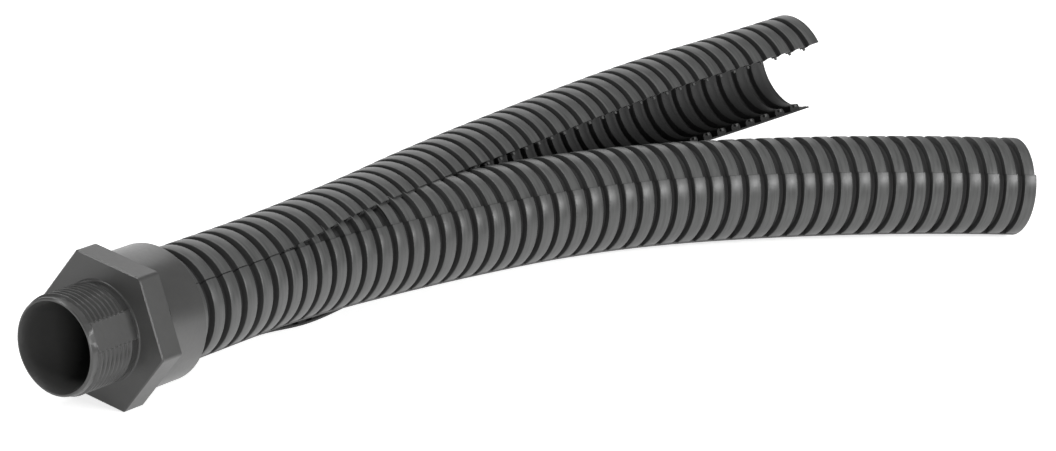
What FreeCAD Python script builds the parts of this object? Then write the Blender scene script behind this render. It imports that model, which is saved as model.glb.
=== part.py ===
"""Divisible corrugated conduit with a threaded end fitting.

Lengths are in millimetres and angles in degrees, with +Z up. The origin is the centre of the hexagon
flange's front face, on the thread's axis. The thread points along -X and the conduit leaves along +X.
The hexagon rests on one of its flats, and the lower shell lies on the same floor.

Two plastic shells make the conduit. The lower shell is a nearly closed tube: the part of it that shows
has the full outer diameter, and the rest is stepped inward by one wall. The cover shell closes over the
stepped part, flush with the rest, wave in wave. Its lower edge is a plain band and its upper edge shows
the waves. Here it is snapped on near the fitting and peeled away from there on, so its free end stands
open.
"""
import FreeCAD, Part
import math
import os

from FreeCAD import Rotation, Vector

# Threaded nipple
THREAD_DIAMETER = 24.9
THREAD_LENGTH = 15.5
THREAD_RIM_CHAMFER = 0.8
THREAD_FLAT_DEPTH = 0.5
THREAD_FLAT_TILT = 30.0
BORE_DIAMETER = 20.8
BORE_LIP_DIAMETER = 22.4
BORE_LIP_LENGTH = 3.0

# Hexagon flange and collar
FLANGE_ACROSS_FLATS = 34.5
FLANGE_THICKNESS = 6.9
FLANGE_CORNER_BEVEL = 0.5
COLLAR_DIAMETER = 34.0
COLLAR_LENGTH = 11.8
COLLAR_RIM_ROUND = 0.6
SOCKET_CLEARANCE = 0.15
LATCH_HEIGHT = 1.2
LATCH_WIDTH = 1.6

# Corrugated wall
CONDUIT_DIAMETER = 28.5
WALL = 0.55
RIB_PITCH = 6.0
CROWN_WIDTH = 3.7
WAVE_DEPTH = 1.8
NEST_CLEARANCE = 0.1
SEAM_CLEARANCE = 0.2

# Ribs counted from the collar's mouth, and the ones inside the collar
SOCKET_RIBS = 2
LOWER_RIBS = 50
COVER_RIBS = 47

# Angles round the conduit, from the near side (-Y) towards the top (+Z)
SEAM_ANGLE = 46.5
COVER_WRAP = 260.0
SLIT_WIDTH = 8.0

# Plain band along the cover's lower edge, at the crowns' height
LIP_WIDTH = 1.4

# The lower shell twists a little along its bare length, and carries its seam towards the near side
LOWER_TWIST_PER_RIB = -0.28

# Bends as (ribs, yaw per rib, rise per rib), where a positive yaw turns away from the near side
SHARED_BENDS = [(5, 0.5, 0.0)]
LOWER_BENDS = [(7, -1.1, 0.0), (10, -0.75, 0.0), (10, -1.25, -0.02), (18, -0.6, -0.03)]
COVER_BENDS = [(4, 0.5, 0.05), (7, 0.05, 0.4), (8, -0.45, -0.2), (8, -0.4, 0.2), (8, -0.85, 0.1),
               (8, -0.9, 0.85)]

# The shells sink from the fitting's axis to the floor over these two groups of ribs
SINK_RIBS = 8
LEVEL_RIBS = 14

# The cover's upper half opens out as it rides off the lower shell. Its lower half reaches down to the
# floor, under the lower shell, until its lip is past it, and then springs back.
SPREAD_START_RIB = 5
SPREAD_PEAK_RIB = 12
SPREAD_END_RIB = 25
SPREAD = 1.4
REACH_RIB = 11
RELEASE_START_RIB = 21
RELEASE_END_RIB = 30

CONDUIT_RADIUS = CONDUIT_DIAMETER / 2
FLOOR_HEIGHT = -FLANGE_ACROSS_FLATS / 2
COLLAR_MOUTH = FLANGE_THICKNESS + COLLAR_LENGTH
CONDUIT_START = COLLAR_MOUTH - SOCKET_RIBS * RIB_PITCH
FAR_SEAM_ANGLE = SEAM_ANGLE + COVER_WRAP
BACK_ANGLE = 180.0
STEP_DEPTH = WALL + NEST_CLEARANCE
SHARED_RIBS = sum(group[0] for group in SHARED_BENDS)

ORIGIN = Vector(0, 0, 0)
ALONG = Vector(1, 0, 0)


class Station:
    """A place on a centreline, with its directions of travel, towards the near side, and up."""

    def __init__(self, centre, along, near, up):
        self.centre = centre
        self.along = along
        self.near = near
        self.up = up

    def point(self, angle, radius, ahead=0.0):
        turn = math.radians(angle)
        across = self.near * (radius * math.cos(turn)) + self.up * (radius * math.sin(turn))
        return self.centre + across + self.along * ahead

    def ahead(self, distance):
        return Station(self.centre + self.along * distance, self.along, self.near, self.up)

    def widened(self, spread):
        """The centre of an arc that is wider by a spread and keeps its back where it was."""
        return Station(self.centre + self.near * spread, self.along, self.near, self.up)

    def bent(self, length, yaw, rise):
        """The station at the end of an arc that turns by a yaw and a rise over its length."""
        turn = self.up * yaw + self.near * rise
        if turn.Length < 1e-6:
            return self.ahead(length)
        axis = Vector(turn).normalize()
        pivot = self.centre + axis.cross(self.along) * (length / math.radians(turn.Length))
        turning = Rotation(axis, turn.Length)
        centre = pivot + turning.multVec(self.centre - pivot)
        return Station(centre, *(turning.multVec(v) for v in (self.along, self.near, self.up)))


def wave(depth, spread=0.0):
    """Half of a rib's outline as (distance along, radius) points, on the surface `depth` under the skin.

    It runs from groove to groove across one crown. A wall's own thickness narrows the inner crown.
    """
    crown = CONDUIT_RADIUS - depth + spread
    groove = crown - WAVE_DEPTH
    points = [(0, groove), (depth, groove), (depth, crown),
              (CROWN_WIDTH - depth, crown), (CROWN_WIDTH - depth, groove), (CROWN_WIDTH, groove)]
    return points if depth else points[1:-1]


def band(depth, spread=0.0):
    """The outline of a plain band at the crowns' height, with the points of a wave's crown."""
    crown = CONDUIT_RADIUS - depth + spread
    points = [(0, crown), (depth, crown), (CROWN_WIDTH - depth, crown), (CROWN_WIDTH, crown)]
    return points if depth else points[1:-1]


def arc_edge(station, start, end, radius, ahead=0.0):
    places = [station.point(angle, radius, ahead) for angle in (start, (start + end) / 2, end)]
    return Part.Arc(*places).toShape()


def line_edge(station, angle, start, end):
    return Part.LineSegment(station.point(angle, start), station.point(angle, end)).toShape()


def sector_faces(station, start, end, outline):
    """Faces of one crown between two angles: a band for each run along, a flat ring for each step."""
    faces = []
    for (place, radius), (next_place, next_radius) in zip(outline, outline[1:]):
        arc = arc_edge(station, start, end, radius, place)
        if radius == next_radius:
            faces.append(arc.extrude(station.along * (next_place - place)))
        else:
            back = arc_edge(station, start, end, next_radius, place)
            faces.append(Part.makeRuledSurface(arc, back))
    return faces


def cut_faces(station, angle, outline, other):
    """Flat faces in the radial plane at an angle, between the outlines of two surfaces.

    A band meets a wave of its own height only over the grooves.
    """
    height = other[0][1]
    runs = [outline + other[::-1]]
    if height == max(radius for place, radius in outline) and len(outline) > len(other):
        runs = [[start, end, (end[0], height), (start[0], height)]
                for start, end in zip(outline, outline[1:]) if start[0] < end[0] and start[1] < height]
    polygons = [[station.point(angle, radius, place) for place, radius in run] for run in runs]
    return [Part.Face(Part.makePolygon(corners + corners[:1])) for corners in polygons]


def radial_cuts(outer, inner):
    """Each radial edge of a section: its angle, the two outlines that it joins and their spread."""
    cuts = [(outer[0][0], outer[0][2], inner[0][2], outer[0][3]),
            (outer[-1][1], outer[-1][2], inner[-1][2], outer[-1][3])]
    for side in (outer, inner):
        cuts += [(after[0], before[2], after[2], after[3]) for before, after in zip(side, side[1:])
                 if before[3] == after[3] and before[2] != after[2]]
    return cuts


def crown_faces(station, outer, inner):
    """Skin of one crown. Each side is a list of (start angle, end angle, outline, spread)."""
    faces = []
    for start, end, outline, spread in outer + inner:
        faces += sector_faces(station.widened(spread), start, end, outline)
    for angle, outline, other, spread in radial_cuts(outer, inner):
        faces += cut_faces(station.widened(spread), angle, outline, other)
    return faces


def section_edges(station, outer, inner, end_index):
    """Edges of the section at the start (0) or the end (-1) of a crown, in a fixed order."""
    edges = [arc_edge(station.widened(spread), start, end, outline[end_index][1])
             for start, end, outline, spread in outer + inner]
    edges += [line_edge(station.widened(spread), angle, outline[end_index][1], other[end_index][1])
              for angle, outline, other, spread in radial_cuts(outer, inner)]
    return edges


def groove_faces(before, after):
    """Ruled skin of the groove that joins the end of one crown's section to the start of the next."""
    return [Part.makeRuledSurface(edge, next_edge) for edge, next_edge in zip(before, after)]


def section_face(edges):
    return Part.Face(Part.Wire(Part.__sortEdges__(edges)))


def lower_section(rib):
    """Sides of the lower shell: full size between the seams, stepped inward by one wall under the cover."""
    twist = LOWER_TWIST_PER_RIB * max(0, rib - SHARED_RIBS)
    slit = math.degrees(math.asin(SLIT_WIDTH / 2 / CONDUIT_RADIUS))
    web = math.degrees(WALL / CONDUIT_RADIUS)
    start = BACK_ANGLE + slit + twist
    far_seam = FAR_SEAM_ANGLE + twist
    near_seam = SEAM_ANGLE + 360 + twist
    end = BACK_ANGLE - slit + 360 + twist
    outer = [(start, far_seam, wave(STEP_DEPTH), 0.0), (far_seam, near_seam, wave(0.0), 0.0),
             (near_seam, end, wave(STEP_DEPTH), 0.0)]
    inner = [(start, far_seam + web, wave(STEP_DEPTH + WALL), 0.0),
             (far_seam + web, near_seam - web, wave(WALL), 0.0),
             (near_seam - web, end, wave(STEP_DEPTH + WALL), 0.0)]
    return outer, inner


def cover_section(rib):
    """Sides of the cover, as an upper and a lower arc that meet at its back, each as long as when closed."""
    upper = upper_spread(rib)
    lower = lower_spread(rib)
    margin = math.degrees(SEAM_CLEARANCE / CONDUIT_RADIUS)
    start = BACK_ANGLE - (BACK_ANGLE - SEAM_ANGLE - margin) * CONDUIT_RADIUS / (CONDUIT_RADIUS + upper)
    end = BACK_ANGLE + (FAR_SEAM_ANGLE - BACK_ANGLE - margin) * CONDUIT_RADIUS / (CONDUIT_RADIUS + lower)
    lip = end - math.degrees(LIP_WIDTH / CONDUIT_RADIUS)
    sides = []
    for depth in (0.0, WALL):
        edge = lip + math.degrees(depth / CONDUIT_RADIUS)
        sides.append([(start, BACK_ANGLE, wave(depth, upper), upper), (BACK_ANGLE, edge, wave(depth, lower), lower),
                      (edge, end, band(depth, lower), lower)])
    return sides


def ease(share):
    """A smooth step from 0 to 1."""
    return (1 - math.cos(math.pi * min(1.0, max(0.0, share)))) / 2


def upper_spread(rib):
    """How far the cover's upper half is opened out at a rib."""
    opening = ease((rib - SPREAD_START_RIB) / (SPREAD_PEAK_RIB - SPREAD_START_RIB))
    closing = ease((rib - SPREAD_PEAK_RIB) / (SPREAD_END_RIB - SPREAD_PEAK_RIB))
    return SPREAD * (opening - closing)


def lower_spread(rib):
    """How far the cover's lower half is opened out: as far as the floor lets it."""
    room = COVER_CROWNS[rib + SOCKET_RIBS].centre.z - CONDUIT_RADIUS - FLOOR_HEIGHT
    opening = ease((rib - SPREAD_START_RIB) / (REACH_RIB - SPREAD_START_RIB))
    sprung_back = ease((rib - RELEASE_START_RIB) / (RELEASE_END_RIB - RELEASE_START_RIB))
    return max(0.0, room) * (opening - sprung_back)


def rib_bends(groups, ribs):
    """One (yaw, rise) for each rib, with the sinking and levelling of the first ribs worked in."""
    bends = [(0.0, 0.0)] * SOCKET_RIBS
    for count, yaw, rise in groups:
        bends += [(yaw, rise)] * count
    drop = -FLOOR_HEIGHT - CONDUIT_RADIUS
    steepest = math.degrees(2 * drop / ((SINK_RIBS + LEVEL_RIBS) * RIB_PITCH))
    for rib in range(SINK_RIBS + LEVEL_RIBS):
        yaw, rise = bends[SOCKET_RIBS + rib]
        extra = -steepest / SINK_RIBS if rib < SINK_RIBS else steepest / LEVEL_RIBS
        bends[SOCKET_RIBS + rib] = (yaw, rise + extra)
    return bends[:SOCKET_RIBS + ribs]


def crown_stations(bends):
    """The station at the start of each crown. Crowns are stiff and straight, and grooves take the bends."""
    stations = [Station(Vector(CONDUIT_START, 0, 0), ALONG, Vector(0, -1, 0), Vector(0, 0, 1))]
    for yaw, rise in bends[:-1]:
        stations.append(stations[-1].ahead(CROWN_WIDTH).bent(RIB_PITCH - CROWN_WIDTH, yaw, rise))
    return stations


LOWER_CROWNS = crown_stations(rib_bends(SHARED_BENDS + LOWER_BENDS, LOWER_RIBS))
COVER_CROWNS = crown_stations(rib_bends(SHARED_BENDS + COVER_BENDS, COVER_RIBS))


def corrugated_shell(crowns, section):
    """One solid shell with a crown at each station and a groove between each crown and the next."""
    faces = []
    last_edges = None
    for number, crown in enumerate(crowns):
        outer, inner = section(number - SOCKET_RIBS)
        first_edges = section_edges(crown, outer, inner, 0)
        faces += groove_faces(last_edges, first_edges) if last_edges else [section_face(first_edges)]
        faces += crown_faces(crown, outer, inner)
        last_edges = section_edges(crown.ahead(CROWN_WIDTH), outer, inner, -1)
    faces.append(section_face(last_edges))
    skin = Part.Shell(faces)
    skin.sewShape()
    solid = Part.Solid(skin)
    if solid.Volume < 0:
        solid.reverse()
    return solid


def lower_shell():
    return corrugated_shell(LOWER_CROWNS, lower_section)


def cover_shell():
    return corrugated_shell(COVER_CROWNS, cover_section)


def turned_profile(points):
    """Solid of revolution about the X axis from (x, radius) points."""
    outline = [Vector(x, 0, radius) for x, radius in points]
    face = Part.Face(Part.makePolygon(outline + outline[:1]))
    return face.revolve(ORIGIN, ALONG, 360)


def hexagon_flange():
    corner_radius = FLANGE_ACROSS_FLATS / math.sqrt(3)
    corners = [Vector(0, corner_radius * math.cos(math.radians(a)), corner_radius * math.sin(math.radians(a)))
               for a in range(0, 360, 60)]
    prism = Part.Face(Part.makePolygon(corners + corners[:1])).extrude(ALONG * FLANGE_THICKNESS)
    rim = corner_radius - FLANGE_CORNER_BEVEL
    bevel = turned_profile([(0, 0), (0, rim), (FLANGE_CORNER_BEVEL, corner_radius),
                            (FLANGE_THICKNESS - FLANGE_CORNER_BEVEL, corner_radius),
                            (FLANGE_THICKNESS, rim), (FLANGE_THICKNESS, 0)])
    return prism.common(bevel)


def thread_flats():
    """Blocks that cut the two flats along the thread, on its near and far sides."""
    size = THREAD_DIAMETER
    blocks = []
    for side in (180, 0):
        block = Part.makeBox(THREAD_LENGTH, size, size,
                             Vector(-THREAD_LENGTH, THREAD_DIAMETER / 2 - THREAD_FLAT_DEPTH, -size / 2))
        block.rotate(ORIGIN, ALONG, side - THREAD_FLAT_TILT)
        blocks.append(block)
    return blocks


def fitting():
    thread_radius = THREAD_DIAMETER / 2
    nipple = turned_profile([(-THREAD_LENGTH, 0), (-THREAD_LENGTH, thread_radius - THREAD_RIM_CHAMFER),
                             (-THREAD_LENGTH + THREAD_RIM_CHAMFER, thread_radius), (0, thread_radius), (0, 0)])
    for block in thread_flats():
        nipple = nipple.cut(block)
    collar_radius = COLLAR_DIAMETER / 2
    socket_radius = CONDUIT_RADIUS + SOCKET_CLEARANCE
    collar = turned_profile([(FLANGE_THICKNESS, 0), (FLANGE_THICKNESS, collar_radius),
                             (COLLAR_MOUTH - COLLAR_RIM_ROUND, collar_radius),
                             (COLLAR_MOUTH, collar_radius - COLLAR_RIM_ROUND), (COLLAR_MOUTH, 0)])
    body = nipple.fuse([hexagon_flange(), collar])
    latch_radius = socket_radius - LATCH_HEIGHT
    latch_middle = CONDUIT_START + (CROWN_WIDTH + RIB_PITCH) / 2
    bore_radius = BORE_DIAMETER / 2
    passage = turned_profile([(-THREAD_LENGTH, 0), (-THREAD_LENGTH, BORE_LIP_DIAMETER / 2),
                              (-THREAD_LENGTH + BORE_LIP_LENGTH, bore_radius),
                              (CONDUIT_START, bore_radius), (CONDUIT_START, socket_radius),
                              (latch_middle - LATCH_WIDTH / 2, socket_radius),
                              (latch_middle - LATCH_WIDTH / 2, latch_radius),
                              (latch_middle + LATCH_WIDTH / 2, latch_radius),
                              (latch_middle + LATCH_WIDTH / 2, socket_radius),
                              (COLLAR_MOUTH, socket_radius), (COLLAR_MOUTH, 0)])
    return body.cut(passage).removeSplitter().Solids[0]


def main():
    os.makedirs("parts", exist_ok=True)
    nodes = {"fitting": fitting, "lower_shell": lower_shell, "cover_shell": cover_shell}
    for name, build in nodes.items():
        shape = build()
        box = shape.BoundBox
        print(name, "valid" if shape.isValid() else "NOT VALID", len(shape.Solids), "solid",
              len(shape.Faces), "faces", round(shape.Volume / 1000, 2), "cm3",
              [round(v, 1) for v in (box.XMin, box.YMin, box.ZMin, box.XMax, box.YMax, box.ZMax)])
        shape.exportStep(f"parts/{name}.step")


main()
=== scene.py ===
"""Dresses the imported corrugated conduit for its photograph.

The meshes repeat the part's shape in finer form. They add softened edges, the thread's helix and lead-in, a
ledge along the lower shell's far seam, wider crowns where its stepped part is bare, and the catches along the
cover's edges. Lengths are in millimetres until a mesh is made, and angles round the conduit run from the near
side (-Y) towards the top (+Z).
"""

import math

import bpy
from mathutils import Matrix, Vector


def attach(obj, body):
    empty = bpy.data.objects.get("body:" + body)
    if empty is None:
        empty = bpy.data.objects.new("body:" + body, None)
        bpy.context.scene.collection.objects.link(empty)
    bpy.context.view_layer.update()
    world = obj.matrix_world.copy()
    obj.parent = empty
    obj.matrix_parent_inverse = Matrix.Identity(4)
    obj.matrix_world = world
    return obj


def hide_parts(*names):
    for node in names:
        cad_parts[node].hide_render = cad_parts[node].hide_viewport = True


MM = 0.001
SHARP_ANGLE = 32.0

# Fitting
THREAD_RADIUS = 12.45
THREAD_LENGTH = 15.5
THREAD_PITCH = 1.5
THREAD_DEPTH = 0.62
THREAD_RUN_OUT = 1.3
THREAD_RIDGE_PEAK = 1.35
THREAD_RIDGE_SLOPE = 4
THREAD_FILLET = 0.4
THREAD_START = 0.5
THREAD_ROW_STEP = 0.125
THREAD_RIM_CHAMFER = 0.8
THREAD_LEAD = 1.9
THREAD_LEAD_RADIUS = 12.1
THREAD_LEAD_STEP = 0.1
THREAD_RIM_HEIGHT = 0.2
THREAD_RIM_LENGTH = 0.35
THREAD_RIM_BREAK = 0.1
THREAD_FLAT_DEPTH = 0.5
THREAD_FLAT_TILT = 30.0
BORE_RADIUS = 10.4
BORE_LIP_RADIUS = 11.2
BORE_LIP_LENGTH = 3.0
FLANGE_ACROSS_FLATS = 34.5
FLANGE_THICKNESS = 6.9
FLANGE_EDGE = 0.3
FLANGE_CORNER = 0.12
FLANGE_CORNER_ANGLE = 0.6
COLLAR_RADIUS = 17.0
COLLAR_LENGTH = 11.8
COLLAR_RIM_ROUND = 0.35
COLLAR_FOOT_LENGTH = 0.15
COLLAR_FOOT_HEIGHT = 0.08
MOUTH_CHAMFER = 0.4
SOCKET_CLEARANCE = 0.15
LATCH_HEIGHT = 1.2
LATCH_WIDTH = 1.6
LATCH_SLOPE = 0.3

# Corrugated wall
CONDUIT_RADIUS = 14.25
WALL = 0.55
RIB_PITCH = 6.0
CROWN_WIDTH = 3.7
WAVE_DEPTH = 1.8
STEP_DEPTH = 0.65
STEP_INSET = 0.2
BARE_RIB = 13
SEAM_CLEARANCE = 0.2
CROWN_ROUND = 0.25
GROOVE_ROUND = 0.3
LEAST_CROWN_ROUND = 0.15
MOST_GROOVE_ROUND = 0.8
SOCKET_RIBS = 2
LOWER_RIBS = 50
COVER_RIBS = 47
SEAM_ANGLE = 46.5
COVER_WRAP = 260.0
SLIT_WIDTH = 8.0
LIP_WIDTH = 1.4
LEDGE_WIDTH = 2.4
CATCH_SIZE = 0.8
CATCH_START_RIB = 16
CATCH_ROOT_ANGLE = 1
UPPER_CATCH_INSET = 0.05
LOWER_CATCH_INSIDE = 0.4
LOWER_CATCH_OUTSIDE = 0.3
LOWER_TWIST_PER_RIB = -0.28
ANGLE_STEP = 5.5

# Bends as (ribs, yaw per rib, rise per rib), where a positive yaw turns away from the near side
SHARED_BENDS = [(5, 0.5, 0.0)]
LOWER_BENDS = [(7, -1.1, 0.0), (10, -0.75, 0.0), (10, -1.25, -0.02), (18, -0.6, -0.03)]
COVER_BENDS = [(4, 0.5, 0.05), (7, 0.05, 0.4), (8, -0.45, -0.2), (8, -0.4, 0.2), (8, -0.85, 0.1),
               (8, -0.9, 0.85)]
SINK_RIBS = 8
LEVEL_RIBS = 14
SPREAD_START_RIB = 5
SPREAD_PEAK_RIB = 12
SPREAD_END_RIB = 25
SPREAD = 1.4
REACH_RIB = 11
RELEASE_START_RIB = 21
RELEASE_END_RIB = 30

FLOOR_HEIGHT = -FLANGE_ACROSS_FLATS / 2
COLLAR_MOUTH = FLANGE_THICKNESS + COLLAR_LENGTH
CONDUIT_START = COLLAR_MOUTH - SOCKET_RIBS * RIB_PITCH
SOCKET_RADIUS = CONDUIT_RADIUS + SOCKET_CLEARANCE
SHARED_RIBS = sum(group[0] for group in SHARED_BENDS)
FAR_SEAM_ANGLE = SEAM_ANGLE + COVER_WRAP
BACK_ANGLE = 180.0

# Painted light along a rib's outline: a painted highlight on the near edge, the crown a little darker,
# painted shade in the groove
CROWN_POINTS = 8
OUTLINE_PAINTED_LIGHT = [0.2, 0.9, 1.0, 0.7, 0.66, 0.6, 0.4, 0.1, 0.0, 0.0, 0.0, 0.0, 0.0, 0.0]
STEPPED_PAINTED_LIGHT = [0.45, 1.0, 1.1, 0.9, 0.9, 0.8, 0.5, 0.1, 0.0, 0.0, 0.0, 0.0, 0.0, 0.15]
# Painted shade on the shells' insides and on the plain bands along their seams
INSIDE_PAINTED_SHADE = [0.14, 0.15, 0.15, 0.15, 0.15, 0.15, 0.15, 0.14, 0.12, 0.12, 0.12, 0.12, 0.12, 0.13]
BAND_PAINTED_SHADE = [0.1] * 14
BAND_INSIDE_PAINTED_SHADE = [0.02] * 14
# Painted shade in the lower shell's near seam step and inside the cover along its lower lip
SEAM_SHADE = 0.1
SEAM_LINE = 0.9
LIP_SHADE = 0.1
LIP_SHADE_START = FAR_SEAM_ANGLE - 14

# Plastics in linear colours: the shells' dark one is painted groove shade, the light one painted highlight on
# the crowns
FITTING_DARK = (0.052, 0.052, 0.051)
FITTING_LIGHT = (0.066, 0.066, 0.065)
SHELL_DARK = (0.018, 0.018, 0.018)
CONDUIT_LIGHT = (0.095, 0.0965, 0.095)
COVER_LIGHT = (0.1, 0.1015, 0.1)
GROOVE_ROUGHNESS = 0.58
GROOVE_TONE_LIMIT = 0.6
STREAK_STRETCH = (14.0, 1.2, 1.0)
STREAK_CONTRAST = 1.6
STREAK_LEVEL = 0.2
MOTTLE_SCALE = 220.0
GRAIN_SCALE = 900.0
GRAIN_STRENGTH = 0.12
GRAIN_HEIGHT = 0.0002

# Photograph's camera
CAMERA_TARGET = (132.8, -27.1, 4.4)
CAMERA_AZIMUTH = -57.081
CAMERA_ELEVATION = 21.956
CAMERA_ROLL = 9.1
CAMERA_DISTANCE = 940.6
CAMERA_LENS = 124.36
SENSOR_WIDTH = 36.0

# Floor
FLOOR_HALF_WIDTH = 4.0
FLOOR_PAINT = (0.85, 0.85, 0.85, 1)
FLOOR_GLOW = 0.7

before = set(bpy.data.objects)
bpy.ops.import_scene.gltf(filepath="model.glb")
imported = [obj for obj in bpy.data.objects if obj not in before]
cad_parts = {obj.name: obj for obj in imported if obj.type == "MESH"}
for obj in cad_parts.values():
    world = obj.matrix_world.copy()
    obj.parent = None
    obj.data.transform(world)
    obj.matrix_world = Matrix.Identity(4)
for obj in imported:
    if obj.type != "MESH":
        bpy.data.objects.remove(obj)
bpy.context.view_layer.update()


# Meshes

def make_piece(name, vertices, faces, material):
    """A smooth-shaded mesh object from millimetre points, riding on the part's one body."""
    mesh = bpy.data.meshes.new(name)
    mesh.from_pydata([tuple(v * MM for v in p) for p in vertices], [], faces)
    mesh.validate()
    mesh.shade_smooth()
    mesh.set_sharp_from_angle(angle=math.radians(SHARP_ANGLE))
    mesh.materials.append(material)
    piece = bpy.data.objects.new(name, mesh)
    bpy.context.scene.collection.objects.link(piece)
    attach(piece, "root")
    return piece


def arc_points(x, radius, size, start, end, steps):
    """Points of a corner's rounding as (distance along, radius), about a centre."""
    turns = [math.radians(start + (end - start) * i / steps) for i in range(steps + 1)]
    return [(x + size * math.cos(t), radius + size * math.sin(t)) for t in turns]


# Corrugated shells

class Station:
    """A place on a centreline, with its directions of travel, towards the near side, and up."""

    def __init__(self, centre, along, near, up):
        self.centre = centre
        self.along = along
        self.near = near
        self.up = up

    def point(self, angle, radius):
        turn = math.radians(angle)
        return self.centre + self.near * (radius * math.cos(turn)) + self.up * (radius * math.sin(turn))

    def ahead(self, distance):
        return Station(self.centre + self.along * distance, self.along, self.near, self.up)

    def widened(self, spread):
        """The centre of an arc that is wider by a spread and keeps its back where it was."""
        return Station(self.centre + self.near * spread, self.along, self.near, self.up)

    def bent(self, length, yaw, rise):
        """The station at the end of an arc that turns by a yaw and a rise over its length."""
        turn = self.up * math.radians(yaw) + self.near * math.radians(rise)
        if turn.length < 1e-7:
            return self.ahead(length)
        axis = turn.normalized()
        pivot = self.centre + axis.cross(self.along) * (length / turn.length)
        turning = Matrix.Rotation(turn.length, 3, axis)
        return Station(pivot + turning @ (self.centre - pivot), turning @ self.along, turning @ self.near,
                       turning @ self.up)


def rib_bends(groups, ribs):
    """One (yaw, rise) for each rib, with the sinking and levelling of the first ribs worked in."""
    bends = [(0.0, 0.0)] * SOCKET_RIBS
    for count, yaw, rise in groups:
        bends += [(yaw, rise)] * count
    drop = -FLOOR_HEIGHT - CONDUIT_RADIUS
    steepest = math.degrees(2 * drop / ((SINK_RIBS + LEVEL_RIBS) * RIB_PITCH))
    for rib in range(SINK_RIBS + LEVEL_RIBS):
        yaw, rise = bends[SOCKET_RIBS + rib]
        extra = -steepest / SINK_RIBS if rib < SINK_RIBS else steepest / LEVEL_RIBS
        bends[SOCKET_RIBS + rib] = (yaw, rise + extra)
    return bends[:SOCKET_RIBS + ribs]


class Path:
    """A centreline of stiff straight crowns, and grooves that take the bends."""

    def __init__(self, bends):
        self.bends = bends
        self.crowns = [Station(Vector((CONDUIT_START, 0, 0)), Vector((1, 0, 0)), Vector((0, -1, 0)),
                               Vector((0, 0, 1)))]
        for yaw, rise in bends:
            self.crowns.append(self.crowns[-1].ahead(CROWN_WIDTH).bent(RIB_PITCH - CROWN_WIDTH, yaw, rise))

    def at(self, rib, place):
        """The station at a distance along from the start of a rib."""
        if place > RIB_PITCH:
            rib += 1
            place -= RIB_PITCH
        crown = self.crowns[rib]
        if place <= CROWN_WIDTH:
            return crown.ahead(place)
        share = (place - CROWN_WIDTH) / (RIB_PITCH - CROWN_WIDTH)
        yaw, rise = self.bends[min(rib, len(self.bends) - 1)]
        return crown.ahead(CROWN_WIDTH).bent(place - CROWN_WIDTH, yaw * share, rise * share)


def rib_outline(depth, inset):
    """One pitch of the surface `depth` under the skin, as (distance along, radius) points.

    It goes over the crown, whose sides lie `inset` within the skin's, and along the groove after it. Every
    depth gives the same number of points.
    """
    crown = CONDUIT_RADIUS - depth
    groove = crown - WAVE_DEPTH
    left = inset
    right = CROWN_WIDTH - inset
    outer = max(LEAST_CROWN_ROUND, CROWN_ROUND - inset)
    inner = min(MOST_GROOVE_ROUND, GROOVE_ROUND + inset)
    return (arc_points(left + outer, crown - outer, outer, 180, 90, 3)
            + arc_points(right - outer, crown - outer, outer, 90, 0, 3)
            + arc_points(right + inner, groove + inner, inner, 180, 270, 2)
            + arc_points(RIB_PITCH + left - inner, groove + inner, inner, 270, 360, 2))


def sector_angles(start, end):
    count = max(1, round(abs(end - start) / ANGLE_STEP))
    return [start + (end - start) * i / count for i in range(count + 1)]


def sector_outline(rib, depth, flat):
    """A rib's outline for one sector of a section, or a plain band at the height of its crown.

    Under the cover the stepped crowns are narrower by the cover's wall. Where they are bare they are wider.
    """
    bare = depth >= STEP_DEPTH and rib >= BARE_RIB
    outline = rib_outline(depth, depth - STEP_DEPTH + STEP_INSET if bare else depth)
    if flat:
        return [(place, CONDUIT_RADIUS - depth) for place, radius in outline]
    return outline


def sector_tones(depth, flat, inside):
    if inside:
        return BAND_INSIDE_PAINTED_SHADE if flat else INSIDE_PAINTED_SHADE
    if flat:
        return BAND_PAINTED_SHADE
    return STEPPED_PAINTED_LIGHT if depth else OUTLINE_PAINTED_LIGHT


def opened_point(station, angle, radius, spread):
    """A point of an arc that is opened out by a spread and keeps its back and its length."""
    squeeze = CONDUIT_RADIUS / (CONDUIT_RADIUS + spread)
    return station.widened(spread).point(BACK_ANGLE + (angle - BACK_ANGLE) * squeeze, radius + spread)


def catch_boxes(path, spread_at, first_vertex):
    """Vertices and faces of the small catches along both edges of the peeled part of the cover."""
    groove = CONDUIT_RADIUS - WAVE_DEPTH
    margin = math.degrees(SEAM_CLEARANCE / CONDUIT_RADIUS)
    size = math.degrees(CATCH_SIZE / CONDUIT_RADIUS)
    web = math.degrees((LIP_WIDTH - WALL) / CONDUIT_RADIUS)
    upper = SEAM_ANGLE + margin
    lower = FAR_SEAM_ANGLE - margin - web
    middle = (CROWN_WIDTH + RIB_PITCH) / 2
    boxes = [(upper - size, upper + CATCH_ROOT_ANGLE, groove - WALL + UPPER_CATCH_INSET,
              groove - UPPER_CATCH_INSET),
             (lower - CATCH_ROOT_ANGLE, lower + size, groove - LOWER_CATCH_INSIDE,
              groove + LOWER_CATCH_OUTSIDE)]
    vertices = []
    faces = []
    for rib in range(CATCH_START_RIB, COVER_RIBS - 1):
        for start, end, inner, outer in boxes:
            base = first_vertex + len(vertices)
            for place in (middle - CATCH_SIZE / 2, middle + CATCH_SIZE / 2):
                station = path.at(rib + SOCKET_RIBS, place)
                for angle, radius in ((start, inner), (end, inner), (end, outer), (start, outer)):
                    spread = spread_at(rib + place / RIB_PITCH, angle)
                    vertices.append(opened_point(station, angle, radius, spread))
            corners = [(3, 2, 1, 0), (4, 5, 6, 7), (1, 5, 4, 0), (2, 6, 5, 1), (3, 7, 6, 2), (0, 4, 7, 3)]
            faces += [tuple(base + i for i in face) for face in corners]
    return vertices, faces


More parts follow.
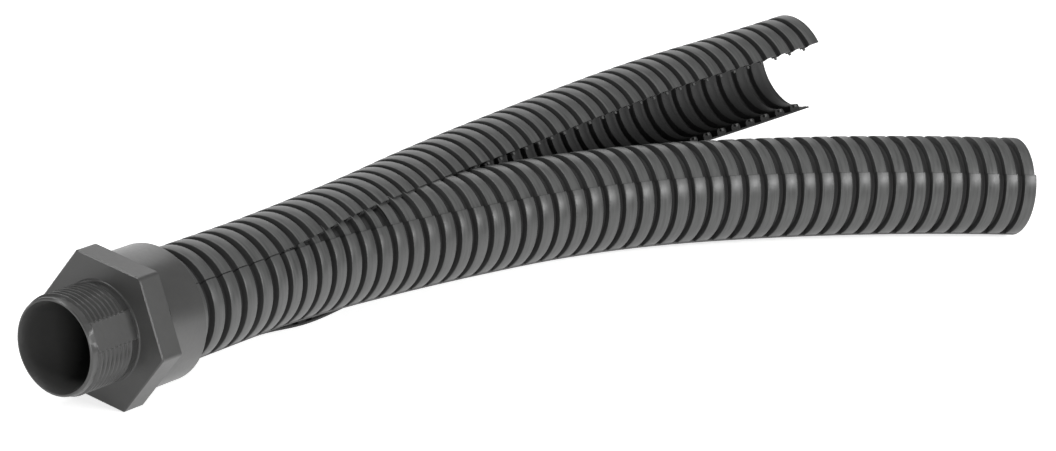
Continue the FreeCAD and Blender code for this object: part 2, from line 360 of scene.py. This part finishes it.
def edge_shade(rib, inside, angle):
    """Painted shade on the step of the lower shell's near seam, and inside the cover by its lower lip."""
    if inside:
        return LIP_SHADE if angle > LIP_SHADE_START else 1.0
    seam = SEAM_ANGLE + 360 + LOWER_TWIST_PER_RIB * max(0, rib - SHARED_RIBS)
    return SEAM_SHADE if abs(angle - seam) < 0.01 else 1.0


def shell_mesh(path, section, spread_at):
    """Vertices, tones, lays and faces of an open-ended shell, and the size of each of its loops of points.

    There is one loop for each place along the wave. A section is a list of (depth, is a band, is inside,
    angles). Its arcs that are opened out keep the back of the shell where it is, and their own length.
    """
    vertices = []
    tones = []
    lays = []
    last = len(path.bends) - 1
    for rib in range(last + 1):
        free_rib = rib - SOCKET_RIBS
        sectors = []
        for depth, flat, inside, angles in section(free_rib):
            outline = sector_outline(free_rib, depth, flat)
            sectors.append((outline, sector_tones(depth, flat, inside), inside, angles))
        for index in range(CROWN_POINTS if rib == last else len(OUTLINE_PAINTED_LIGHT)):
            for outline, outline_tones, inside, angles in sectors:
                place, radius = outline[index]
                station = path.at(rib, place)
                for angle in angles:
                    spread = spread_at(free_rib + place / RIB_PITCH, angle)
                    vertices.append(opened_point(station, angle, radius, spread))
                    tones.append(outline_tones[index] * edge_shade(free_rib, inside, angle))
                    along = (rib * RIB_PITCH + place) / 10
                    lays.append((along, math.radians(angle) * radius / 10, 0.0))
    size = sum(len(angles) for depth, flat, inside, angles in section(0))
    faces = []
    for ring in range(len(vertices) // size - 1):
        for i in range(size):
            j = (i + 1) % size
            faces.append(((ring + 1) * size + i, (ring + 1) * size + j, ring * size + j, ring * size + i))
    return vertices, tones, lays, faces, size


def close_ends(vertices, faces, size, outer_count):
    """Quads between the outside and the inside of a shell's wall at its two ends."""
    inner_count = size - outer_count
    last_ring = len(vertices) - size
    for ring in (0, last_ring):
        for i in range(outer_count - 1):
            across = [size - 1 - round(k * (inner_count - 1) / (outer_count - 1)) for k in (i, i + 1)]
            quad = [ring + i, ring + i + 1, ring + across[1], ring + across[0]]
            corners = list(dict.fromkeys(quad))
            faces.append(tuple(corners[::-1] if ring else corners))


def ease(share):
    """A smooth step from 0 to 1."""
    return (1 - math.cos(math.pi * min(1.0, max(0.0, share)))) / 2


def cover_spread(path):
    """How far the cover is opened out: its lower half to the floor, its upper half off the lower shell."""
    def spread_at(rib, angle):
        if angle <= BACK_ANGLE:
            opening = ease((rib - SPREAD_START_RIB) / (SPREAD_PEAK_RIB - SPREAD_START_RIB))
            closing = ease((rib - SPREAD_PEAK_RIB) / (SPREAD_END_RIB - SPREAD_PEAK_RIB))
            return SPREAD * (opening - closing)
        number = rib + SOCKET_RIBS
        room = path.at(int(number), number % 1 * RIB_PITCH).centre.z - CONDUIT_RADIUS - FLOOR_HEIGHT
        opening = ease((rib - SPREAD_START_RIB) / (REACH_RIB - SPREAD_START_RIB))
        sprung_back = ease((rib - RELEASE_START_RIB) / (RELEASE_END_RIB - RELEASE_START_RIB))
        return max(0.0, room) * (opening - sprung_back)
    return spread_at


def no_spread(path):
    return lambda rib, angle: 0.0


def cover_section(rib):
    margin = math.degrees(SEAM_CLEARANCE / CONDUIT_RADIUS)
    end = FAR_SEAM_ANGLE - margin
    lip = end - math.degrees(LIP_WIDTH / CONDUIT_RADIUS)
    web = math.degrees(WALL / CONDUIT_RADIUS)
    upper = sector_angles(SEAM_ANGLE + margin, BACK_ANGLE)
    lower = sector_angles(BACK_ANGLE, lip)
    ribbed = upper + lower[1:]
    ribbed_inside = upper + lower[1:-1] + [lip + web]
    return [(0.0, False, False, ribbed), (0.0, True, False, [lip, end]), (WALL, True, True, [end, lip + web]),
            (WALL, False, True, ribbed_inside[::-1])]


def lower_section(rib):
    twist = LOWER_TWIST_PER_RIB * max(0, rib - SHARED_RIBS)
    slit = math.degrees(math.asin(SLIT_WIDTH / 2 / CONDUIT_RADIUS))
    start = BACK_ANGLE + slit + twist
    far_seam = FAR_SEAM_ANGLE + twist
    near_seam = SEAM_ANGLE + 360 + twist
    end = BACK_ANGLE - slit + 360 + twist
    web = math.degrees(WALL / CONDUIT_RADIUS)
    ledge = far_seam + math.degrees(LEDGE_WIDTH / CONDUIT_RADIUS)
    far = sector_angles(start, far_seam)
    full = sector_angles(ledge, near_seam - SEAM_LINE) + [near_seam]
    near = [near_seam] + sector_angles(near_seam + SEAM_LINE, end)
    far_inside = far[:-1] + [far_seam + web]
    full_inside = sector_angles(ledge - web, near_seam - web)
    near_inside = sector_angles(near_seam - web, end)
    return [(STEP_DEPTH, False, False, far), (0.0, True, False, [far_seam, ledge]), (0.0, False, False, full),
            (STEP_DEPTH, False, False, near), (STEP_DEPTH + WALL, False, True, near_inside[::-1]),
            (WALL, False, True, full_inside[::-1]), (WALL, True, True, [ledge - web, far_seam + web]),
            (STEP_DEPTH + WALL, False, True, far_inside[::-1])]


def merge_points(vertices, tones, lays, faces):
    """The same mesh with coincident points made one, and without the faces that have no area left."""
    number_of = {}
    kept = []
    numbers = []
    for index, vertex in enumerate(vertices):
        key = tuple(round(value, 4) for value in vertex)
        if key not in number_of:
            number_of[key] = len(kept)
            kept.append(index)
        numbers.append(number_of[key])
    merged = [tuple(dict.fromkeys(numbers[index] for index in face)) for face in faces]
    return ([vertices[i] for i in kept], [tones[i] for i in kept], [lays[i] for i in kept],
            [face for face in merged if len(face) > 2])


def shell(name, bends, section, spread_at, material, catches):
    path = Path(bends)
    vertices, tones, lays, faces, size = shell_mesh(path, section, spread_at(path))
    outer_count = sum(len(angles) for depth, flat, inside, angles in section(0) if not inside)
    close_ends(vertices, faces, size, outer_count)
    if catches:
        more_vertices, more_faces = catch_boxes(path, spread_at(path), len(vertices))
        vertices += more_vertices
        faces += more_faces
        tones += [1.0] * len(more_vertices)
        lays += [(0.0, 0.0, 0.0)] * len(more_vertices)
    vertices, tones, lays, faces = merge_points(vertices, tones, lays, faces)
    piece = make_piece(name + "_wall", vertices, faces, material)
    # The painted light and shade go on the mesh as a point attribute
    painted_light = piece.data.attributes.new("painted_light", "FLOAT", "POINT")
    painted_light.data.foreach_set("value", tones)
    lay = piece.data.attributes.new("lay", "FLOAT_VECTOR", "POINT")
    lay.data.foreach_set("vector", [v for point in lays for v in point])
    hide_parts(name)
    return piece


def cover_shell(material):
    bends = rib_bends(SHARED_BENDS + COVER_BENDS, COVER_RIBS)
    return shell("cover_shell", bends, cover_section, cover_spread, material, True)


def lower_shell(material):
    bends = rib_bends(SHARED_BENDS + LOWER_BENDS, LOWER_RIBS)
    return shell("lower_shell", bends, lower_section, no_spread, material, False)


# Fitting

def hexagon_radius(angle, inset=0.0):
    """Distance from the axis to the hexagon's outline, with its corners slightly broken."""
    flat = FLANGE_ACROSS_FLATS / 2 - inset
    corner = FLANGE_ACROSS_FLATS / math.sqrt(3) - FLANGE_CORNER - inset
    return min(flat / math.cos(math.radians(angle % 60 - 30)), corner)


def thread_radius(place, angle):
    """Radius of the threaded nipple at a place along it: helix, run-out and the two plain flats."""
    off_flat = math.radians((angle - THREAD_FLAT_TILT + 90) % 180 - 90)
    flat = (THREAD_RADIUS - THREAD_FLAT_DEPTH) / math.cos(off_flat)
    if flat < THREAD_RADIUS:
        return flat
    turn = (place / THREAD_PITCH + angle / 360) % 1
    ridge = min(1.0, max(0.0, THREAD_RIDGE_PEAK - abs(turn - 0.5) * THREAD_RIDGE_SLOPE))
    run_out = min(1.0, max(0.0, (-place - THREAD_RUN_OUT) / THREAD_PITCH))
    return THREAD_RADIUS - THREAD_DEPTH * (1 - ridge * run_out)


def ring_row(x, radius):
    return lambda angle: (x, radius)


def hexagon_row(x, inset):
    return lambda angle: (x, hexagon_radius(angle, inset))


def thread_row(x, ceiling):
    return lambda angle: (x, min(ceiling, thread_radius(x, angle)))


def collar_rows():
    """From the collar's mouth over its rounded rim and along it to the flange."""
    rim = arc_points(COLLAR_MOUTH - COLLAR_RIM_ROUND, COLLAR_RADIUS - COLLAR_RIM_ROUND, COLLAR_RIM_ROUND,
                     0, 90, 4)
    return ([ring_row(COLLAR_MOUTH, SOCKET_RADIUS + MOUTH_CHAMFER)]
            + [ring_row(x, radius) for x, radius in rim]
            + [ring_row(FLANGE_THICKNESS + COLLAR_FOOT_LENGTH, COLLAR_RADIUS),
               ring_row(FLANGE_THICKNESS, COLLAR_RADIUS + COLLAR_FOOT_HEIGHT)])


def flange_rows():
    """Over the hexagon, whose edges are softened."""
    return [hexagon_row(FLANGE_THICKNESS, FLANGE_EDGE), hexagon_row(FLANGE_THICKNESS - FLANGE_EDGE, 0.0),
            hexagon_row(FLANGE_EDGE, 0.0), hexagon_row(0.0, FLANGE_EDGE)]


def thread_rows():
    """From the fillet at the flange along the thread, and down its lead-in to the nipple's rim."""
    fillet = arc_points(-THREAD_FILLET, THREAD_RADIUS + THREAD_FILLET, THREAD_FILLET, 0, -90, 3)
    rows = [thread_row(x, r) if r < THREAD_RADIUS else ring_row(x, r) for x, r in fillet]
    lead = THREAD_LENGTH - THREAD_LEAD
    steps = round((lead - THREAD_START) / THREAD_ROW_STEP)
    for step in range(steps + 1):
        rows.append(thread_row(-THREAD_START - (lead - THREAD_START) * step / steps, THREAD_RADIUS))
    rim = THREAD_RADIUS - THREAD_RIM_CHAMFER
    return rows + [thread_row(-lead - THREAD_LEAD_STEP, THREAD_LEAD_RADIUS),
                   thread_row(-THREAD_LENGTH + THREAD_RIM_LENGTH, rim + THREAD_RIM_HEIGHT),
                   ring_row(-THREAD_LENGTH + THREAD_RIM_BREAK, rim),
                   ring_row(-THREAD_LENGTH, rim - THREAD_RIM_BREAK)]


def bore_rows():
    """Down the bore's flared lip, along the bore, and out through the socket with its latch ridge."""
    rows = [ring_row(-THREAD_LENGTH, BORE_LIP_RADIUS)]
    for share in (0.1, 0.3, 0.5, 0.75, 1.0):
        flare = (BORE_LIP_RADIUS - BORE_RADIUS) * (1 - share) ** 2
        rows.append(ring_row(-THREAD_LENGTH + BORE_LIP_LENGTH * share, BORE_RADIUS + flare))
    latch = CONDUIT_START + (CROWN_WIDTH + RIB_PITCH) / 2
    start = latch - LATCH_WIDTH / 2
    end = latch + LATCH_WIDTH / 2
    crest = SOCKET_RADIUS - LATCH_HEIGHT
    return rows + [ring_row(CONDUIT_START, BORE_RADIUS), ring_row(CONDUIT_START, SOCKET_RADIUS),
                   ring_row(start, SOCKET_RADIUS), ring_row(start + LATCH_SLOPE, crest),
                   ring_row(end - LATCH_SLOPE, crest), ring_row(end, SOCKET_RADIUS),
                   ring_row(COLLAR_MOUTH - MOUTH_CHAMFER, SOCKET_RADIUS)]


def fitting_angles():
    """Every second degree, and an angle close to either side of each corner of the hexagon."""
    corners = {60 * k + side * FLANGE_CORNER_ANGLE for k in range(7) for side in (-1, 1)}
    return [angle for angle in sorted(corners | set(range(0, 360, 2))) if 0 <= angle < 360]


def fitting(material):
    """One closed skin, turned about the axis: over the outside and back through the bore."""
    angles = fitting_angles()
    vertices = []
    for row in collar_rows() + flange_rows() + thread_rows() + bore_rows():
        for angle in angles:
            x, radius = row(angle)
            turn = math.radians(angle)
            vertices.append((x, -radius * math.cos(turn), radius * math.sin(turn)))
    size = len(angles)
    rings = len(vertices) // size
    faces = []
    for ring in range(rings):
        after = (ring + 1) % rings
        for i in range(size):
            j = (i + 1) % size
            faces.append((ring * size + j, after * size + j, after * size + i, ring * size + i))
    piece = make_piece("fitting_body", vertices, faces, material)
    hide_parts("fitting")
    return piece


# Materials

def connect(tree, value, socket):
    """Links an output to a socket, or writes a plain number on it."""
    if isinstance(value, (int, float)):
        socket.default_value = value
    else:
        tree.links.new(value, socket)


def math_node(tree, operation, *values):
    node = tree.nodes.new("ShaderNodeMath")
    node.operation = operation
    for value, socket in zip(values, node.inputs):
        connect(tree, value, socket)
    return node.outputs[0]


def noise(tree, place, scale, detail):
    node = tree.nodes.new("ShaderNodeTexNoise")
    node.inputs["Scale"].default_value = scale
    node.inputs["Detail"].default_value = detail
    tree.links.new(place, node.inputs["Vector"])
    return node.outputs["Fac"]


def attribute(tree, name, output):
    node = tree.nodes.new("ShaderNodeAttribute")
    node.attribute_name = name
    return node.outputs[output]


def rib_streaks(tree):
    """Streaks that run round the ribs, laid out by the mesh's own lay."""
    stretch = tree.nodes.new("ShaderNodeMapping")
    stretch.inputs["Scale"].default_value = STREAK_STRETCH
    tree.links.new(attribute(tree, "lay", "Vector"), stretch.inputs["Vector"])
    return noise(tree, stretch.outputs["Vector"], 1.0, 4.0)


def groove_dullness(tree, painted_light, roughness):
    """The skin's roughness, which rises in the grooves, where the painted shade is."""
    node = tree.nodes.new("ShaderNodeMapRange")
    node.inputs["From Max"].default_value = GROOVE_TONE_LIMIT
    node.inputs["To Min"].default_value = GROOVE_ROUGHNESS
    node.inputs["To Max"].default_value = roughness
    tree.links.new(painted_light, node.inputs["Value"])
    return node.outputs["Result"]


def plastic(name, dark, light, roughness, scratch, streaks_and_painted_light):
    """Satin moulded plastic: fine grain in the bump, streaks in the roughness, and a mottled colour.

    On the shells the colour follows painted light on the mesh: painted shade in the grooves, highlights on
    near edges.
    """
    material = bpy.data.materials.new(name)
    material.use_nodes = True
    tree = material.node_tree
    shader = tree.nodes["Principled BSDF"]
    place = tree.nodes.new("ShaderNodeTexCoord").outputs["Object"]
    grain = noise(tree, place, GRAIN_SCALE, 3.0)
    if streaks_and_painted_light:
        # Painted light and shade from the mesh: dark in the grooves and hollows, light on the crowns' near
        # edges
        painted_light = attribute(tree, "painted_light", "Fac")
        streaks = rib_streaks(tree)
        level = math_node(tree, "MULTIPLY_ADD", streaks, STREAK_CONTRAST, STREAK_LEVEL)
        share = math_node(tree, "MULTIPLY", painted_light, level)
        finish = math_node(tree, "MULTIPLY_ADD", streaks, scratch, groove_dullness(tree, painted_light, roughness))
    else:
        share = noise(tree, place, MOTTLE_SCALE, 4.0)
        finish = math_node(tree, "MULTIPLY_ADD", grain, scratch, roughness)
    tint = tree.nodes.new("ShaderNodeMix")
    tint.data_type = "RGBA"
    tint.inputs["A"].default_value = (*dark, 1)
    tint.inputs["B"].default_value = (*light, 1)
    tree.links.new(share, tint.inputs["Factor"])
    tree.links.new(tint.outputs["Result"], shader.inputs["Base Color"])
    tree.links.new(finish, shader.inputs["Roughness"])
    bump = tree.nodes.new("ShaderNodeBump")
    bump.inputs["Strength"].default_value = GRAIN_STRENGTH
    bump.inputs["Distance"].default_value = GRAIN_HEIGHT
    tree.links.new(grain, bump.inputs["Height"])
    tree.links.new(bump.outputs["Normal"], shader.inputs["Normal"])
    shader.inputs["IOR"].default_value = 1.5
    return material


# Studio

def studio_white():
    """White paint with a glow that only the camera and reflections see, so that the soft shadow stays."""
    material = bpy.data.materials.new("studio_white")
    material.use_nodes = True
    tree = material.node_tree
    tree.nodes.clear()
    paint = tree.nodes.new("ShaderNodeBsdfDiffuse")
    paint.inputs["Color"].default_value = FLOOR_PAINT
    ray = tree.nodes.new("ShaderNodeLightPath")
    shown = ray.outputs["Is Camera Ray"]
    for kind in ("Is Glossy Ray", "Is Transmission Ray"):
        shown = math_node(tree, "MAXIMUM", shown, ray.outputs[kind])
    glow = tree.nodes.new("ShaderNodeEmission")
    tree.links.new(math_node(tree, "MULTIPLY", shown, FLOOR_GLOW), glow.inputs["Strength"])
    both = tree.nodes.new("ShaderNodeAddShader")
    tree.links.new(paint.outputs[0], both.inputs[0])
    tree.links.new(glow.outputs[0], both.inputs[1])
    surface = tree.nodes.new("ShaderNodeOutputMaterial")
    tree.links.new(both.outputs[0], surface.inputs["Surface"])
    return material


def studio_floor():
    mesh = bpy.data.meshes.new("floor")
    half = FLOOR_HALF_WIDTH
    height = FLOOR_HEIGHT * MM
    corners = [(-half, -half, height), (half, -half, height), (half, half, height), (-half, half, height)]
    mesh.from_pydata(corners, [], [(0, 1, 2, 3)])
    mesh.materials.append(studio_white())
    floor = bpy.data.objects.new("floor", mesh)
    bpy.context.scene.collection.objects.link(floor)


def area_light(name, place, target, width, height, power):
    data = bpy.data.lights.new(name, "AREA")
    data.shape = "RECTANGLE"
    data.size = width
    data.size_y = height
    data.energy = power
    light = bpy.data.objects.new(name, data)
    light.location = place
    light.rotation_mode = "QUATERNION"
    light.rotation_quaternion = (Vector(target) - Vector(place)).to_track_quat("-Z", "Y")
    bpy.context.scene.collection.objects.link(light)


def studio_lights():
    """Soft lamps, placed in metres, that light the object at about the level at which a colour is written."""
    middle = (0.14, -0.02, 0.0)
    flange = (0.0, 0.0, 0.0)
    area_light("top_light", (0.15, 0.05, 0.8), middle, 0.6, 0.6, 2.5)
    area_light("back_light", (0.9, 0.75, 0.35), middle, 0.8, 0.8, 2.5)
    area_light("near_light", (0.36, -0.95, 0.5), middle, 0.35, 0.14, 5.5)
    area_light("front_light", (-0.6, -0.75, 0.25), flange, 0.3, 0.3, 3.6)
    area_light("edge_light", (-0.35, 0.5, 0.75), flange, 0.2, 0.2, 2.5)
    world = bpy.data.worlds.new("studio")
    world.use_nodes = True
    background = world.node_tree.nodes["Background"]
    background.inputs["Color"].default_value = (1, 1, 1, 1)
    background.inputs["Strength"].default_value = 0.15
    bpy.context.scene.world = world


def photo_camera():
    azimuth = math.radians(CAMERA_AZIMUTH)
    elevation = math.radians(CAMERA_ELEVATION)
    roll = math.radians(CAMERA_ROLL)
    back = Vector((math.sin(azimuth) * math.cos(elevation), -math.cos(azimuth) * math.cos(elevation),
                   math.sin(elevation)))
    level = (-back).cross(Vector((0, 0, 1))).normalized()
    rise = level.cross(-back)
    right = level * math.cos(roll) + rise * math.sin(roll)
    up = rise * math.cos(roll) - level * math.sin(roll)
    data = bpy.data.cameras.new("photo_camera")
    data.sensor_width = SENSOR_WIDTH
    data.lens = CAMERA_LENS
    data.clip_start = 0.05
    data.clip_end = 50.0
    camera = bpy.data.objects.new("photo_camera", data)
    turn = Matrix((right, up, back)).transposed()
    place = (Vector(CAMERA_TARGET) + back * CAMERA_DISTANCE) * MM
    camera.matrix_world = Matrix.Translation(place) @ turn.to_4x4()
    bpy.context.scene.collection.objects.link(camera)
    bpy.context.scene.camera = camera


photo_camera()
fitting(plastic("fitting_plastic_look", FITTING_DARK, FITTING_LIGHT, 0.32, 0.08, streaks_and_painted_light=False))
lower_shell(plastic("conduit_plastic_look", SHELL_DARK, CONDUIT_LIGHT, 0.3, 0.16, streaks_and_painted_light=True))
cover_shell(plastic("cover_plastic_look", SHELL_DARK, COVER_LIGHT, 0.33, 0.2, streaks_and_painted_light=True))
studio_floor()
studio_lights()
bpy.context.scene.view_settings.view_transform = "Standard"
